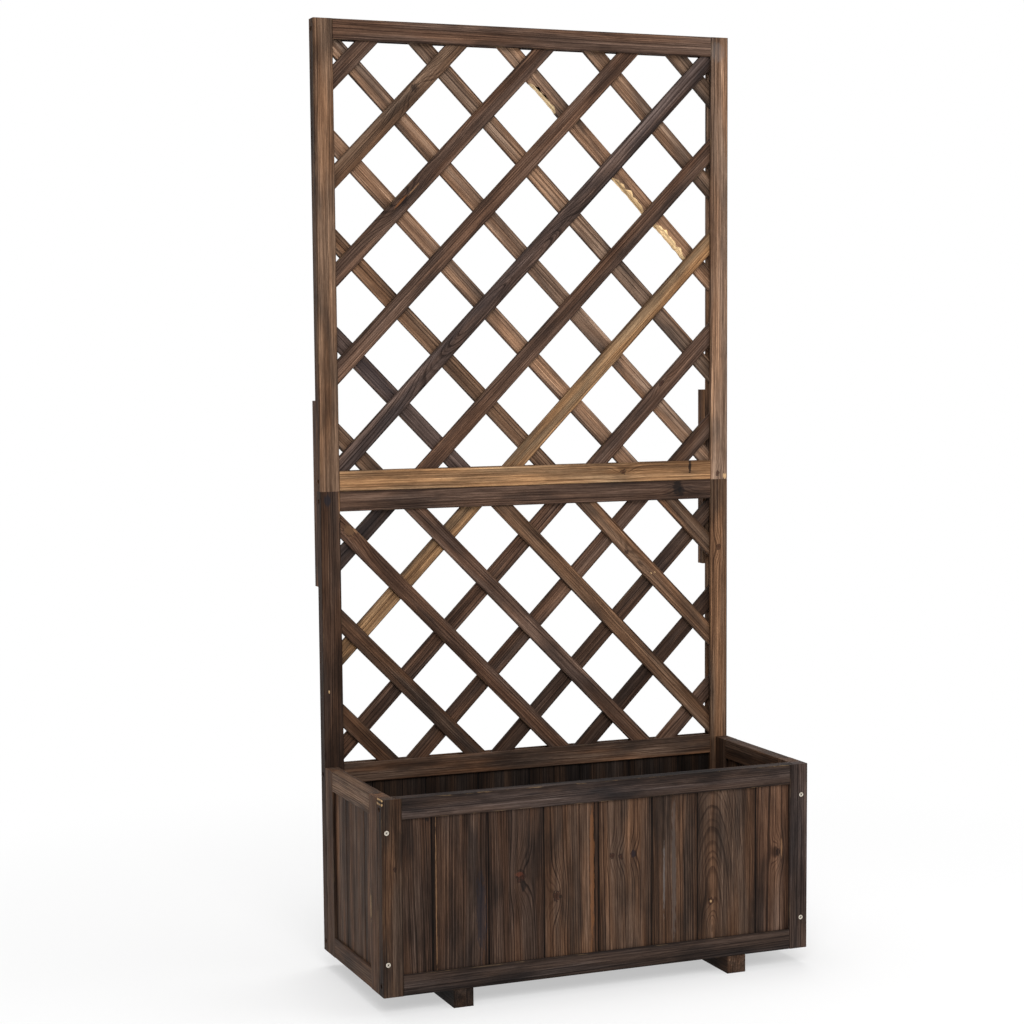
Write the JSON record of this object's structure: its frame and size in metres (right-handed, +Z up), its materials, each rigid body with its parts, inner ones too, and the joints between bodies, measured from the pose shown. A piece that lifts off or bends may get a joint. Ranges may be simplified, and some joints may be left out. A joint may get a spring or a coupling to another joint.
{
  "type": "planter with trellis",
  "caption": "Rectangular wooden trough planter on runners with a tall two-part diagonal lattice trellis standing behind it.",
  "frame": {"origin": "on the ground, below the middle of the object's bounding box", "axes": "+X to the right seen from the front, +Y from the planting box towards the trellis, +Z up"},
  "size_m": [0.717, 0.32, 1.5],
  "materials": {
    "upper_frame_wood": "dark brown stained softwood, matt, strong grain",
    "upper_slat_wood": "brown stained softwood, matt, streaked grain with knots",
    "lower_frame_wood": "dark brown stained softwood, matt, strong grain",
    "lower_slat_wood": "brown stained softwood, matt, streaked grain with knots",
    "box_frame_wood": "dark greyish brown stained softwood, matt",
    "board_wood": "dark brown stained softwood boards, matt, strong grain",
    "batten_wood": "dark brown stained softwood, matt",
    "runner_wood": "dark brown stained softwood, matt",
    "floor_wood": "dark brown stained softwood, matt",
    "zinc_screws": "bright zinc plating"
  },
  "bodies": {
    "root": {"back_boards": "board_wood", "floor_boards": "floor_wood", "front_boards": "board_wood", "front_bottom_rail": "box_frame_wood", "front_left_stile": "box_frame_wood", "front_right_stile": "box_frame_wood", "front_top_rail": "box_frame_wood", "left_batten": "batten_wood", "left_runner": "runner_wood", "left_side_boards": "board_wood", "left_side_bottom_rail": "box_frame_wood", "left_side_front_stile": "box_frame_wood", "left_side_rear_stile": "box_frame_wood", "left_side_top_rail": "box_frame_wood", "long_screws": "zinc_screws", "lower_back_corner_slats": "lower_slat_wood", "lower_back_slat_1": "lower_slat_wood", "lower_back_slat_2": "lower_slat_wood", "lower_back_slat_3": "lower_slat_wood", "lower_back_slat_4": "lower_slat_wood", "lower_back_slat_5": "lower_slat_wood", "lower_bottom_rail": "lower_frame_wood", "lower_front_corner_slats": "lower_slat_wood", "lower_front_slat_1": "lower_slat_wood", "lower_front_slat_2": "lower_slat_wood", "lower_front_slat_3": "lower_slat_wood", "lower_front_slat_4": "lower_slat_wood", "lower_front_slat_5": "lower_slat_wood", "lower_left_stile": "lower_frame_wood", "lower_middle_rail": "lower_frame_wood", "lower_right_stile": "lower_frame_wood", "lower_top_rail": "lower_frame_wood", "right_batten": "batten_wood", "right_runner": "runner_wood", "right_side_boards": "board_wood", "right_side_bottom_rail": "box_frame_wood", "right_side_front_stile": "box_frame_wood", "right_side_rear_stile": "box_frame_wood", "right_side_top_rail": "box_frame_wood", "short_screws": "zinc_screws", "upper_back_corner_slats": "upper_slat_wood", "upper_back_slat_1": "upper_slat_wood", "upper_back_slat_2": "upper_slat_wood", "upper_back_slat_3": "upper_slat_wood", "upper_back_slat_4": "upper_slat_wood", "upper_back_slat_5": "upper_slat_wood", "upper_back_slat_6": "upper_slat_wood", "upper_back_slat_7": "upper_slat_wood", "upper_bottom_rail": "upper_frame_wood", "upper_front_corner_slats": "upper_slat_wood", "upper_front_slat_1": "upper_slat_wood", "upper_front_slat_2": "upper_slat_wood", "upper_front_slat_3": "upper_slat_wood", "upper_front_slat_4": "upper_slat_wood", "upper_front_slat_5": "upper_slat_wood", "upper_front_slat_6": "upper_slat_wood", "upper_front_slat_7": "upper_slat_wood", "upper_left_stile": "upper_frame_wood", "upper_right_stile": "upper_frame_wood", "upper_top_rail": "upper_frame_wood"}
  },
  "joints": []
}
